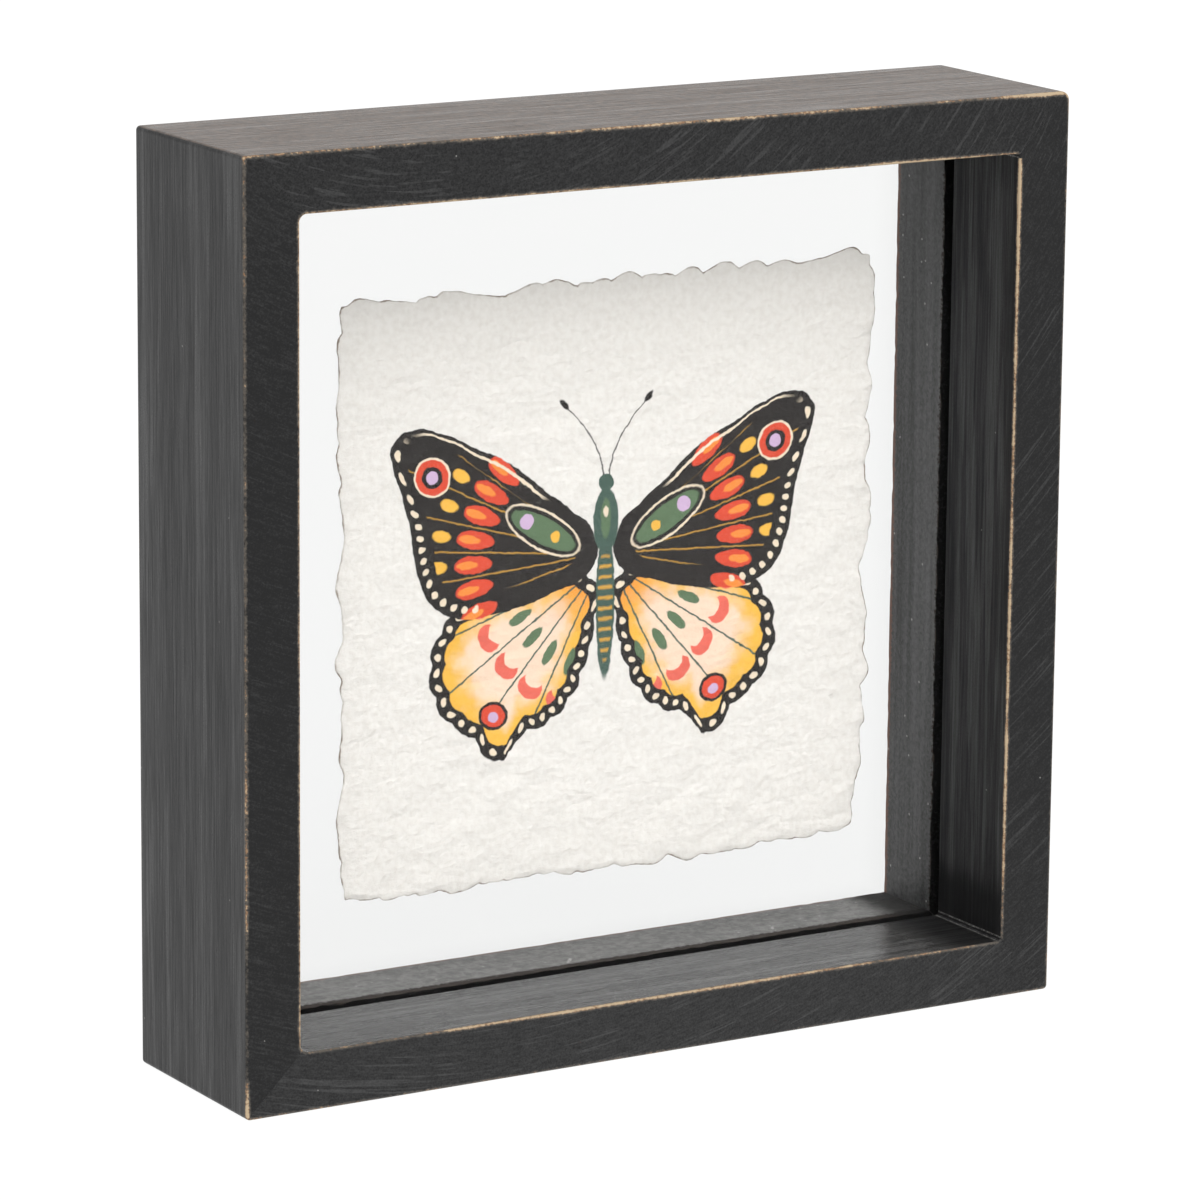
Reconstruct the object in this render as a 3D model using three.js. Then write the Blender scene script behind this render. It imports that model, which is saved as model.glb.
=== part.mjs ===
// A square see-through wall frame with a butterfly print on handmade paper.
// The paper floats between two panes that sit halfway back in a deep wooden frame.
// Millimetres, +Z up. The origin is the middle of the underside and the picture faces -Y.

import * as THREE from 'three';

// The frame, outside
const FRAME_SIZE = 200;
const FRAME_DEPTH = 47.5;
const BAR_FACE = 12.7;
const EDGE_CHAMFER = 0.6;

// The seat for the glass, and the strips that hold the glass from behind
const LIP_DEPTH = 25;
const OUTER_WALL = 6.2;
const STRIP_CHAMFER = 0.3;

// What lies in the seat, front to back, with a little air between the layers
const PANE_THICKNESS = 1.3;
const PAPER_THICKNESS = 0.6;
const LAYER_GAP = 0.1;
const PANE_SIDE_GAP = 0.3;
const MITRE_GAP = 0.1;

// The sheet of paper
const PAPER_WIDTH = 130;
const PAPER_HEIGHT = 128;
const PAPER_RIGHT_OF_CENTRE = 1.5;
const PAPER_BELOW_CENTRE = 1.3;
const PAPER_CORNER_RADIUS = 2.5;
const DECKLE_STEP = 1.5;
const CORNER_STEPS = 4;

// The torn edge is a sum of waves round the sheet: waves in one lap, height, phase
const DECKLE_WAVES = [
  { laps: 19, height: 0.3, phase: 0.4 },
  { laps: 43, height: 0.32, phase: 2.1 },
  { laps: 71, height: 0.26, phase: 4.4 },
];

// Distances that follow from the ones above
const HALF_SIZE = FRAME_SIZE / 2;
const SANDWICH = 2 * PANE_THICKNESS + PAPER_THICKNESS + 4 * LAYER_GAP;
const PANE_SIZE = FRAME_SIZE - 2 * (OUTER_WALL + PANE_SIDE_GAP);
const FRONT_PANE_DEPTH = LIP_DEPTH + LAYER_GAP;
const PAPER_DEPTH = FRONT_PANE_DEPTH + PANE_THICKNESS + LAYER_GAP;
const BACK_PANE_DEPTH = PAPER_DEPTH + PAPER_THICKNESS + LAYER_GAP;

// The four sides, each a quarter turn on from the last
const SIDES = ['bottom', 'left', 'top', 'right'];

const blackPaint = new THREE.MeshStandardMaterial({
  color: 0x37363a,
  roughness: 0.5,
  metalness: 0,
});
const dustyBlackPaint = new THREE.MeshStandardMaterial({
  color: 0x4a4644,
  roughness: 0.8,
  metalness: 0,
});
const clearGlass = new THREE.MeshStandardMaterial({
  color: 0xf2f6f4,
  roughness: 0.05,
  metalness: 0,
  transparent: true,
  opacity: 0.2,
});
const ragPaper = new THREE.MeshStandardMaterial({
  color: 0xefece6,
  roughness: 0.95,
  metalness: 0,
});

// Section points are (inset from the outside edge, depth behind the front face).
function barSection() {
  const edge = EDGE_CHAMFER;
  return [
    [edge, 0],
    [BAR_FACE - edge, 0],
    [BAR_FACE, edge],
    [BAR_FACE, LIP_DEPTH],
    [OUTER_WALL, LIP_DEPTH],
    [OUTER_WALL, FRAME_DEPTH],
    [edge, FRAME_DEPTH],
    [0, FRAME_DEPTH - edge],
    [0, edge],
  ];
}

// The strip fills the rebate behind the glass and ends flush with the lip and the back.
function stripSection() {
  const edge = STRIP_CHAMFER;
  const outside = OUTER_WALL + LAYER_GAP;
  const front = LIP_DEPTH + SANDWICH;
  return [
    [outside, front],
    [BAR_FACE - edge, front],
    [BAR_FACE, front + edge],
    [BAR_FACE, FRAME_DEPTH - edge],
    [BAR_FACE - edge, FRAME_DEPTH],
    [outside, FRAME_DEPTH],
  ];
}

// A bottom bar of the given section, cut at 45 degrees at both ends. The section is
// extruded by one unit, and then each end point is moved out to its own mitre plane.
function mitredBar(section) {
  const shape = new THREE.Shape(section.map(([inset, depth]) => new THREE.Vector2(inset, depth)));
  const geometry = new THREE.ExtrudeGeometry(shape, { depth: 1, bevelEnabled: false });
  const places = geometry.getAttribute('position');
  for (let i = 0; i < places.count; i += 1) {
    const inset = places.getX(i);
    const depth = places.getY(i);
    const side = places.getZ(i) > 0.5 ? -1 : 1;
    const along = side * (HALF_SIZE - inset - MITRE_GAP / 2);
    places.setXYZ(i, along, depth - FRAME_DEPTH / 2, inset - HALF_SIZE);
  }
  geometry.computeVertexNormals();
  return geometry;
}

// Four mitred bars round the middle of the frame, as separate pieces.
function mitredRing(namePrefix, section, material) {
  const ring = new THREE.Group();
  SIDES.forEach((side, turn) => {
    const bar = new THREE.Mesh(mitredBar(section), material);
    bar.name = `${namePrefix}_${side}`;
    bar.rotation.y = (turn * Math.PI) / 2;
    ring.add(bar);
  });
  return ring;
}

function pane(name, depth) {
  const geometry = new THREE.BoxGeometry(PANE_SIZE, PANE_THICKNESS, PANE_SIZE);
  const mesh = new THREE.Mesh(geometry, clearGlass);
  mesh.name = name;
  mesh.position.y = depth + PANE_THICKNESS / 2 - FRAME_DEPTH / 2;
  return mesh;
}

// Points and outward directions round a rectangle with round corners, anticlockwise.
function roundedRectangleStops(width, height, radius, step) {
  const stops = [];
  const corners = [
    [width / 2 - radius, height / 2 - radius],
    [radius - width / 2, height / 2 - radius],
    [radius - width / 2, radius - height / 2],
    [width / 2 - radius, radius - height / 2],
  ];
  corners.forEach(([cx, cy], index) => {
    for (let i = 0; i <= CORNER_STEPS; i += 1) {
      const angle = ((index + i / CORNER_STEPS) * Math.PI) / 2;
      const out = new THREE.Vector2(Math.cos(angle), Math.sin(angle));
      stops.push({ place: new THREE.Vector2(cx, cy).addScaledVector(out, radius), out });
    }
    const last = stops[stops.length - 1];
    const side = (index % 2 === 0 ? width : height) - 2 * radius;
    const along = new THREE.Vector2(-last.out.y, last.out.x);
    const count = Math.round(side / step);
    for (let i = 1; i < count; i += 1) {
      const place = last.place.clone().addScaledVector(along, (side * i) / count);
      stops.push({ place, out: last.out });
    }
  });
  return stops;
}

// How far the torn edge stands out at a share of one lap round the sheet.
function deckle(share) {
  return DECKLE_WAVES.reduce(
    (sum, wave) => sum + wave.height * Math.sin(2 * Math.PI * wave.laps * share + wave.phase),
    0,
  );
}

function paperSheet() {
  const stops = roundedRectangleStops(
    PAPER_WIDTH,
    PAPER_HEIGHT,
    PAPER_CORNER_RADIUS,
    DECKLE_STEP,
  );
  const outline = stops.map(({ place, out }, i) =>
    place.clone().addScaledVector(out, deckle(i / stops.length)),
  );
  const geometry = new THREE.ExtrudeGeometry(new THREE.Shape(outline), {
    depth: PAPER_THICKNESS,
    bevelEnabled: false,
  });
  const sheet = new THREE.Mesh(geometry, ragPaper);
  sheet.name = 'paper_sheet';
  sheet.rotation.x = Math.PI / 2;
  sheet.position.set(
    PAPER_RIGHT_OF_CENTRE,
    PAPER_DEPTH + PAPER_THICKNESS - FRAME_DEPTH / 2,
    -PAPER_BELOW_CENTRE,
  );
  return sheet;
}

const framedPrint = new THREE.Group();
framedPrint.position.z = HALF_SIZE;
framedPrint.add(mitredRing('frame', barSection(), blackPaint));
framedPrint.add(mitredRing('retaining_strip', stripSection(), dustyBlackPaint));
framedPrint.add(pane('glass_front', FRONT_PANE_DEPTH));
framedPrint.add(paperSheet());
framedPrint.add(pane('glass_back', BACK_PANE_DEPTH));

const part = new THREE.Group();
part.add(framedPrint);

export default part;
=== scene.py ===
# %% [markdown]
# A framed butterfly print on handmade paper. The model is a deep square frame of black
# painted wood, open at the front and the back. Two panes of glass sit halfway back, and a
# sheet of handmade paper with a torn edge floats between them. This lesson dresses the
# plain solids of that model: first it loads them, because every size comes from them.

# %% Load the model
import math

import bmesh
import bpy
import numpy as np
from mathutils import Matrix, Vector, noise


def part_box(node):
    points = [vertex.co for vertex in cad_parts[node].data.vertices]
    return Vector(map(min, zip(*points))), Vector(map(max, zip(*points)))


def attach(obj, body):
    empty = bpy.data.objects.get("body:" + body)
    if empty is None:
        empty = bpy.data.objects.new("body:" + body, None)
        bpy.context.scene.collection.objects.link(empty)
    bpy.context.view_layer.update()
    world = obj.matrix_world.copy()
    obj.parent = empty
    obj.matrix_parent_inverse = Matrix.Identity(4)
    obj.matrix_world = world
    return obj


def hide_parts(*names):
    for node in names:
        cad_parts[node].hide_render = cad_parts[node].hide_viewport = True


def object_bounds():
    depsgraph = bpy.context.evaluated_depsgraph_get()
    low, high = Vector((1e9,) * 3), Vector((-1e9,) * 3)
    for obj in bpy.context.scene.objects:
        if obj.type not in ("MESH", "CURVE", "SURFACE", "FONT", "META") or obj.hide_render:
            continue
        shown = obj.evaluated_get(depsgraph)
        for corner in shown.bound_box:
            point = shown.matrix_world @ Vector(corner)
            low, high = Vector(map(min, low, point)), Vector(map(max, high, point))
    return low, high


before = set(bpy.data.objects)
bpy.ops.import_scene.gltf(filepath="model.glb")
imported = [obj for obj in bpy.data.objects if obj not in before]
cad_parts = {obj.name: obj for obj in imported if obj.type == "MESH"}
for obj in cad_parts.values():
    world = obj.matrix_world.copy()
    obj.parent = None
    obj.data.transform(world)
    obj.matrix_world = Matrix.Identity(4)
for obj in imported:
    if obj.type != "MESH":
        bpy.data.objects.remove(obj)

cad_low, cad_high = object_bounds()
print("model box, mm:", [round(1000 * side, 1) for side in cad_high - cad_low])

# %% [markdown]
# The frame is square, so a few distances describe it all. They are read from the solids
# once and given names here, in metres. "Inset" is a distance in from the outside edge.

# %% Measure the frame
MM = 0.001
ROOT = "root"
SIDES = ("bottom", "left", "top", "right")

HALF = cad_high.x
MIDDLE = Vector((0, 0, (cad_low.z + cad_high.z) / 2))
FRONT = cad_low.y
BACK = cad_high.y

bar_low, bar_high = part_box("frame_bottom")
strip_low, strip_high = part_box("retaining_strip_bottom")
front_pane_low, front_pane_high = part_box("glass_front")
back_pane_low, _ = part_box("glass_back")
paper_low, paper_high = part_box("paper_sheet")

LAYER_GAP = 0.1 * MM
BAR_FACE = bar_high.z - bar_low.z
OUTER_WALL = strip_low.z - cad_low.z - LAYER_GAP
SEAT = front_pane_low.y - LAYER_GAP
OPENING = HALF - BAR_FACE
print("bar", round(BAR_FACE / MM, 2), "mm, glass seat", round((SEAT - FRONT) / MM, 2), "mm back")

# %% [markdown]
# The camera comes next, because every later choice is judged through it. It stands to the
# left of the frame and a little above it, with a long lens, so the far side shrinks only
# slightly. Its place was found by matching the corners of the frame in the photograph.

# %% Camera
CAMERA_AZIMUTH = math.radians(-31.06)
CAMERA_HEIGHT_ANGLE = math.radians(12.69)
CAMERA_ROLL = math.radians(0.53)
CAMERA_DISTANCE = 1.3198
CAMERA_SIDE_SHIFT = 0.01414
CAMERA_RISE = 0.00099
LENS_MM = 188.7
SENSOR_MM = 36


def add_camera():
    turn = (
        Matrix.Rotation(CAMERA_AZIMUTH, 3, "Z")
        @ Matrix.Rotation(math.pi / 2 - CAMERA_HEIGHT_ANGLE, 3, "X")
        @ Matrix.Rotation(CAMERA_ROLL, 3, "Z")
    )
    data = bpy.data.cameras.new("camera")
    data.lens = LENS_MM
    data.sensor_width = SENSOR_MM
    data.clip_start = 0.01
    data.clip_end = 50
    camera = bpy.data.objects.new("camera", data)
    bpy.context.scene.collection.objects.link(camera)
    front_centre = Vector((0, FRONT, MIDDLE.z))
    step_back = turn @ Vector((-CAMERA_SIDE_SHIFT, -CAMERA_RISE, CAMERA_DISTANCE))
    camera.matrix_world = Matrix.Translation(front_centre + step_back) @ turn.to_4x4()
    bpy.context.scene.camera = camera
    return camera


camera = add_camera()
print("camera at", [round(value, 3) for value in camera.location])

# %% [markdown]
# The studio is a plain white floor under an even white sky, as in a photographer's light
# tent. The floor is lit from below as well, like a light table, so it stays white and only
# a trace of shadow is left where the frame stands. A broad soft light above and in front
# shades the lumps of the paper and the part of it below the top bar.

# %% Floor, sky and lights
FLOOR_RADIUS = 9.0
FLOOR_GLOW = 0.95
FLOOR_SHADE = (0.06, 0.06, 0.06, 1)
WHITE = (1, 1, 1, 1)
SKY_STRENGTH = 0.86
SUN_STRENGTH = 1.7
SUN_ANGLE = math.radians(44)
SUN_TILT_FORWARD = math.radians(42)
SUN_TILT_SIDE = math.radians(-16)


def add_floor():
    bpy.ops.object.select_all(action="DESELECT")
    bpy.ops.mesh.primitive_circle_add(vertices=96, radius=FLOOR_RADIUS, fill_type="NGON")
    floor = bpy.context.object
    floor.name = "studio_floor"
    material = bpy.data.materials.new("studio white")
    material.use_nodes = True
    shader = material.node_tree.nodes["Principled BSDF"]
    shader.inputs["Base Color"].default_value = FLOOR_SHADE
    shader.inputs["Roughness"].default_value = 1.0
    shader.inputs["Emission Color"].default_value = WHITE
    shader.inputs["Emission Strength"].default_value = FLOOR_GLOW
    floor.data.materials.append(material)


def add_sky():
    world = bpy.data.worlds.new("studio sky")
    world.use_nodes = True
    background = world.node_tree.nodes["Background"]
    background.inputs["Color"].default_value = WHITE
    background.inputs["Strength"].default_value = SKY_STRENGTH
    bpy.context.scene.world = world


def add_sun():
    data = bpy.data.lights.new("soft overhead light", "SUN")
    data.energy = SUN_STRENGTH
    data.angle = SUN_ANGLE
    sun = bpy.data.objects.new("soft overhead light", data)
    sun.rotation_euler = (SUN_TILT_FORWARD, SUN_TILT_SIDE, 0)
    bpy.context.scene.collection.objects.link(sun)


add_floor()
add_sky()
add_sun()
bpy.context.scene.view_settings.view_transform = "Standard"
print("studio ready, floor radius", FLOOR_RADIUS, "m")

# %% [markdown]
# The shaders below are made of many small sums. Written out node by node they would hide
# the idea, so this small class adds a node for each sum and hands back its output. A
# formula then reads like a formula, and what it builds is an ordinary node tree.

# %% A helper for node trees
BUMP_STRENGTH = 0.7


class Wiring:
    """Adds nodes to one tree. Each call takes numbers or sockets and returns a socket."""

    def __init__(self, tree):
        self.tree = tree

    def node(self, kind, **settings):
        made = self.tree.nodes.new(kind)
        for name, value in settings.items():
            setattr(made, name, value)
        return made

    def feed(self, socket, value):
        if isinstance(value, bpy.types.NodeSocket):
            self.tree.links.new(value, socket)
        elif value is not None:
            socket.default_value = value

    def math(self, operation, *values, clamp=False):
        made = self.node("ShaderNodeMath", operation=operation, use_clamp=clamp)
        for socket, value in zip(made.inputs, values):
            self.feed(socket, value)
        return made.outputs[0]

    def add(self, a, b):
        return self.math("ADD", a, b)

    def less(self, a, b):
        return self.math("SUBTRACT", a, b)

    def times(self, a, b):
        return self.math("MULTIPLY", a, b)

    def over(self, a, b):
        return self.math("DIVIDE", a, b)

    def size(self, a):
        return self.math("ABSOLUTE", a)

    def largest(self, a, b):
        return self.math("MAXIMUM", a, b)

    def smallest(self, a, b):
        return self.math("MINIMUM", a, b)

    def hypotenuse(self, a, b):
        return self.math("SQRT", self.add(self.times(a, a), self.times(b, b)))

    def ramp(self, value, low, high, to_low=0.0, to_high=1.0, smooth=True):
        """Maps low..high to to_low..to_high, and holds the ends."""
        made = self.node("ShaderNodeMapRange", clamp=True)
        made.interpolation_type = "SMOOTHSTEP" if smooth else "LINEAR"
        for name, given in (
            ("Value", value),
            ("From Min", low),
            ("From Max", high),
            ("To Min", to_low),
            ("To Max", to_high),
        ):
            self.feed(made.inputs[name], given)
        return made.outputs["Result"]

    def split(self, vector):
        made = self.node("ShaderNodeSeparateXYZ")
        self.feed(made.inputs[0], vector)
        return made.outputs[0], made.outputs[1], made.outputs[2]

    def join(self, x, y, z):
        made = self.node("ShaderNodeCombineXYZ")
        for socket, value in zip(made.inputs, (x, y, z)):
            self.feed(socket, value)
        return made.outputs[0]

    def stretch(self, vector, scale, location=(0, 0, 0)):
        made = self.node("ShaderNodeMapping")
        self.feed(made.inputs["Vector"], vector)
        made.inputs["Scale"].default_value = scale
        made.inputs["Location"].default_value = location
        return made.outputs[0]

    def local(self, vector, location, rotation, size):
        """The place as seen from something that was sized, turned and then moved there."""
        made = self.node("ShaderNodeMapping", vector_type="TEXTURE")
        self.feed(made.inputs["Vector"], vector)
        made.inputs["Location"].default_value = location
        made.inputs["Rotation"].default_value = rotation
        made.inputs["Scale"].default_value = size
        return made.outputs[0]

    def cloud(self, vector, scale, detail=2.0, roughness=0.5, distortion=0.0):
        made = self.node("ShaderNodeTexNoise")
        self.feed(made.inputs["Vector"], vector)
        made.inputs["Scale"].default_value = scale
        made.inputs["Detail"].default_value = detail
        made.inputs["Roughness"].default_value = roughness
        made.inputs["Distortion"].default_value = distortion
        return made.outputs["Fac"]

    def sway(self, vector, scale, detail=2.0, roughness=0.5):
        """A cloud about nought, between -0.5 and 0.5."""
        return self.less(self.cloud(vector, scale, detail, roughness), 0.5)

    def curve(self, value, low, high, points):
        """A smooth line drawn through given (place, height) points from low to high."""
        made = self.node("ShaderNodeFloatCurve")
        self.feed(made.inputs["Value"], self.ramp(value, low, high, smooth=False))
        line = made.mapping.curves[0].points
        marks = [((place - low) / (high - low), height) for place, height in points]
        line[0].location = marks[0]
        line[1].location = marks[-1]
        for mark in marks[1:-1]:
            line.new(*mark)
        made.mapping.update()
        return made.outputs["Value"]

    def blend(self, share, first, second):
        """The first colour where share is 0, the second where it is 1."""
        made = self.node("ShaderNodeMix", data_type="RGBA")
        self.feed(made.inputs[0], share)
        self.feed(made.inputs[6], first)
        self.feed(made.inputs[7], second)
        return made.outputs[2]

    def bump(self, height):
        """A normal that follows a height in millimetres."""
        made = self.node("ShaderNodeBump")
        made.inputs["Distance"].default_value = MM
        made.inputs["Strength"].default_value = BUMP_STRENGTH
        self.feed(made.inputs["Height"], height)
        return made.outputs[0]


def colour(red, green, blue):
    """A colour given as it looks on a screen, 0 to 255, in the linear values nodes use."""
    shares = [value / 255 for value in (red, green, blue)]
    return tuple(c / 12.92 if c < 0.04045 else ((c + 0.055) / 1.055) ** 2.4 for c in shares) + (1,)


def new_group(name, inputs, outputs):
    """A shader node group with named sockets, and the wiring and ends inside it."""
    tree = bpy.data.node_groups.new(name, "ShaderNodeTree")
    for label, kind, value in inputs:
        socket = tree.interface.new_socket(label, in_out="INPUT", socket_type=kind)
        if value is not None:
            socket.default_value = value
    for label, kind in outputs:
        tree.interface.new_socket(label, in_out="OUTPUT", socket_type=kind)
    wiring = Wiring(tree)
    start = wiring.node("NodeGroupInput").outputs
    end = wiring.node("NodeGroupOutput").inputs
    return tree, wiring, start, end


def place_group(wiring, group, **values):
    """Puts a group into a material. Underscores in the names stand for spaces."""
    made = wiring.node("ShaderNodeGroup", node_tree=group)
    for name, value in values.items():
        wiring.feed(made.inputs[name.replace("_", " ")], value)
    return made.outputs


def new_material(name):
    """A material with its wiring, its shader and Object coordinates in millimetres."""
    material = bpy.data.materials.new(name)
    material.use_nodes = True
    wiring = Wiring(material.node_tree)
    shader = material.node_tree.nodes["Principled BSDF"]
    place = wiring.node("ShaderNodeTexCoord").outputs["Object"]
    centred = wiring.node("ShaderNodeVectorMath", operation="SUBTRACT")
    wiring.feed(centred.inputs[0], place)
    centred.inputs[1].default_value = MIDDLE
    scaled = wiring.node("ShaderNodeVectorMath", operation="SCALE")
    wiring.feed(scaled.inputs[0], centred.outputs[0])
    scaled.inputs["Scale"].default_value = 1 / MM
    return material, wiring, shader, scaled.outputs[0]


FLOAT = "NodeSocketFloat"
VECTOR = "NodeSocketVector"

# %% [markdown]
# Paint wears where hands and sandpaper reach it first, on the edges. The frame is made of
# straight edges at known places, so the distance to an edge is a short sum: how far a
# point is from one face plus how far it is from the other. A bevel shader could find edges
# too, but this sum costs nothing and can tell one edge from another. The opening's corners
# are round, so its distance is the one to a square with round corners. The corner line is
# where that rounding begins, on both sides of each corner.

# %% Group: distance to the frame's edges
LEFT_INNER_ROUND = 1.8 * MM
RIGHT_INNER_ROUND = 0.8 * MM

edge_distance, w, start, end = new_group(
    "edge distance",
    [("Place", VECTOR, None)],
    [("Front Outer", FLOAT), ("Front Inner", FLOAT), ("Back Outer", FLOAT),
     ("Front Corner", FLOAT), ("Corner Line", FLOAT), ("From Front", FLOAT),
     ("From Opening", FLOAT)],
)
x, y, z = w.split(start["Place"])
across = w.size(x)
upright = w.size(z)
reach = w.largest(across, upright)
from_outside = w.size(w.less(HALF / MM, reach))
corner_round = w.ramp(x, -1.0, 1.0, LEFT_INNER_ROUND / MM, RIGHT_INNER_ROUND / MM)
straight = w.less(OPENING / MM, corner_round)
past_x = w.largest(w.less(across, straight), 0.0)
past_z = w.largest(w.less(upright, straight), 0.0)
beside_straight = w.smallest(w.less(reach, straight), 0.0)
from_round_centre = w.add(w.hypotenuse(past_x, past_z), beside_straight)
from_opening = w.size(w.less(from_round_centre, corner_round))
from_front = w.size(w.less(y, FRONT / MM))
from_back = w.size(w.less(BACK / MM, y))
from_corner = w.less(2 * HALF / MM, w.add(across, upright))
w.feed(end["Front Outer"], w.add(from_outside, from_front))
w.feed(end["Front Inner"], w.add(from_opening, from_front))
w.feed(end["Back Outer"], w.add(from_outside, from_back))
w.feed(end["Front Corner"], w.add(from_corner, w.times(from_front, 0.5)))
beside = w.size(w.less(across, OPENING / MM))
above = w.size(w.less(upright, OPENING / MM))
w.feed(end["Corner Line"], w.size(w.less(w.add(beside, above), corner_round)))
w.feed(end["From Front"], from_front)
w.feed(end["From Opening"], from_opening)
print("edge group has", len(edge_distance.nodes), "nodes")

# %% [markdown]
# The next group decides where the paint is gone. Each edge has a limit, drawn as a curve
# along the bar, and the excess is how far a point lies inside it. Waves of two lengths are
# added, so the bare line is wide in one place, a hair in the next and missing in a third, as
# sandpaper leaves it. Around the bare wood the paint is only rubbed thin.

# %% Group: worn edge
LONG_WAVES_PER_MM = 0.11
SHORT_WAVES_PER_MM = 1.3
STAINS_PER_MM = 0.9

worn_edge, w, start, end = new_group(
    "worn edge",
    [("Place", VECTOR, None), ("Excess", FLOAT, -1.0), ("Unevenness", FLOAT, 0.4)],
    [("Bare", FLOAT), ("Deep", FLOAT), ("Rubbed", FLOAT)],
)
long_waves = w.sway(start["Place"], LONG_WAVES_PER_MM, 2.0, 0.6)
short_waves = w.sway(start["Place"], SHORT_WAVES_PER_MM, 3.0, 0.8)
waves = w.times(w.add(long_waves, w.times(short_waves, 1.8)), start["Unevenness"])
inside = w.add(start["Excess"], waves)
stains = w.times(w.sway(start["Place"], STAINS_PER_MM, 4.0, 0.8), 0.9)
w.feed(end["Bare"], w.ramp(inside, -0.03, 0.05))
w.feed(end["Deep"], w.ramp(w.add(inside, stains), 0.02, 0.22))
w.feed(end["Rubbed"], w.ramp(w.add(inside, stains), -0.45, 0.05))
print("worn edge group has", len(worn_edge.nodes), "nodes")

# %% [markdown]
# Wood grain runs along each bar. A noise that is squeezed across the bar and stretched
# along it makes the broad bands with crisp sides that show through thin paint, the fine
# streaks in them and the open pores that catch the light.

# %% Group: streaky grain
WIDE_BANDS_PER_MM = 0.12
NARROW_BANDS_PER_MM = 0.42
STREAKS_PER_MM = 1.4
PORES_PER_MM = 3.2

streaky_grain, w, start, end = new_group(
    "streaky grain",
    [("Along Bar", VECTOR, None)],
    [("Broad", FLOAT), ("Fine", FLOAT), ("Pores", FLOAT)],
)
wide_noise = w.cloud(start["Along Bar"], WIDE_BANDS_PER_MM, 1.0, 0.5, 0.5)
wide_bands = w.ramp(wide_noise, 0.47, 0.52)
narrow_noise = w.cloud(start["Along Bar"], NARROW_BANDS_PER_MM, 2.0, 0.6)
narrow_bands = w.ramp(narrow_noise, 0.53, 0.58)
w.feed(end["Broad"], w.add(w.times(wide_bands, 0.5), w.times(narrow_bands, 0.6)))
w.feed(end["Fine"], w.cloud(start["Along Bar"], STREAKS_PER_MM, 4.0, 0.75))
pore_noise = w.cloud(start["Along Bar"], PORES_PER_MM, 2.0, 0.5)
w.feed(end["Pores"], w.ramp(pore_noise, 0.56, 0.68))
print("grain group has", len(streaky_grain.nodes), "nodes")

# %% [markdown]
# The front faces show something else: shallow curved lines that the saw blade left, all
# on circles about one far centre. On the top bar they hang like smiles on the left and
# lean steeply on the right, which one centre above the bar explains. A few of them are
# long. Between them the paint took on short strokes in the same direction.

# %% Group: saw marks
LINE_STRETCH = 6.0
STROKE_STRETCH = 34.0
PATCHES_PER_MM = 0.07

saw_marks, w, start, end = new_group(
    "saw marks",
    [("Place", VECTOR, None), ("Centre", VECTOR, None)],
    [("Lines", FLOAT), ("Strokes", FLOAT)],
)
offset = w.node("ShaderNodeVectorMath", operation="SUBTRACT")
w.feed(offset.inputs[0], start["Place"])
w.feed(offset.inputs[1], start["Centre"])
x, _, z = w.split(offset.outputs[0])
radius = w.hypotenuse(x, z)
turn = w.math("ARCTAN2", z, x)
on_arc = w.join(radius, w.times(turn, LINE_STRETCH), 5.0)
lines = w.ramp(w.cloud(on_arc, 1.5, 1.0, 0.5), 0.57, 0.66)
patches = w.ramp(w.cloud(start["Place"], PATCHES_PER_MM, 2.0, 0.6), 0.38, 0.55)
w.feed(end["Lines"], w.times(lines, patches))
on_short_arc = w.join(radius, w.times(turn, STROKE_STRETCH), 0.0)
w.feed(end["Strokes"], w.sway(on_short_arc, 1.6, 3.0, 0.8))
print("saw group has", len(saw_marks.nodes), "nodes")

# %% [markdown]
# Dust lies in single pale specks. A flat Voronoi pattern gives every cell one point and
# one random number: the number picks the few cells that hold a speck. What goes in is a
# place on the face, so each material leaves out the direction that its front and its sides
# look in. Rear faces are taken as sides, so a speck there is drawn out across the face.

# %% Group: dust specks
WOBBLES_PER_MM = 4.0
WOBBLE_MM = 0.4
SPECK_CORE = 0.03
SPECK_RIM = 0.07

dust_specks, w, start, end = new_group(
    "dust specks",
    [("Place on Face", VECTOR, None), ("Cell Size", FLOAT, 3.0), ("Share", FLOAT, 0.1)],
    [("Speck", FLOAT)],
)
cells = w.node("ShaderNodeTexVoronoi", feature="F1", voronoi_dimensions="2D")
scale = w.over(1.0, start["Cell Size"])
wobble = w.node("ShaderNodeVectorMath", operation="MULTIPLY_ADD")
w.feed(wobble.inputs[0], w.cloud(start["Place on Face"], WOBBLES_PER_MM, 1.0))
wobble.inputs[1].default_value = (WOBBLE_MM, WOBBLE_MM, WOBBLE_MM)
w.feed(wobble.inputs[2], start["Place on Face"])
w.feed(cells.inputs["Vector"], wobble.outputs[0])
w.feed(cells.inputs["Scale"], scale)
chance = w.split(cells.outputs["Color"])[0]
near = w.ramp(cells.outputs["Distance"], SPECK_CORE, SPECK_RIM, 1.0, 0.0)
w.feed(end["Speck"], w.times(near, w.math("LESS_THAN", chance, start["Share"])))
print("specks group has", len(dust_specks.nodes), "nodes")

# %% [markdown]
# Finer dust settles as a thin haze, but only on what faces up: the top of the frame, the
# floor of the opening and the bottom strip.

# %% Group: settled dust
DRIFTS_PER_MM = 0.5

settled_dust, w, start, end = new_group(
    "settled dust", [("Place", VECTOR, None), ("Amount", FLOAT, 0.1)], [("Share", FLOAT)]
)
facing_up = w.split(w.node("ShaderNodeTexCoord").outputs["Normal"])[2]
drifts = w.ramp(w.cloud(start["Place"], DRIFTS_PER_MM, 4.0, 0.75), 0.35, 0.65, 0.5, 1.5)
settled = w.times(w.ramp(facing_up, 0.7, 0.95), drifts)
w.feed(end["Share"], w.times(settled, start["Amount"]))
print("settled dust group has", len(settled_dust.nodes), "nodes")

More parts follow.
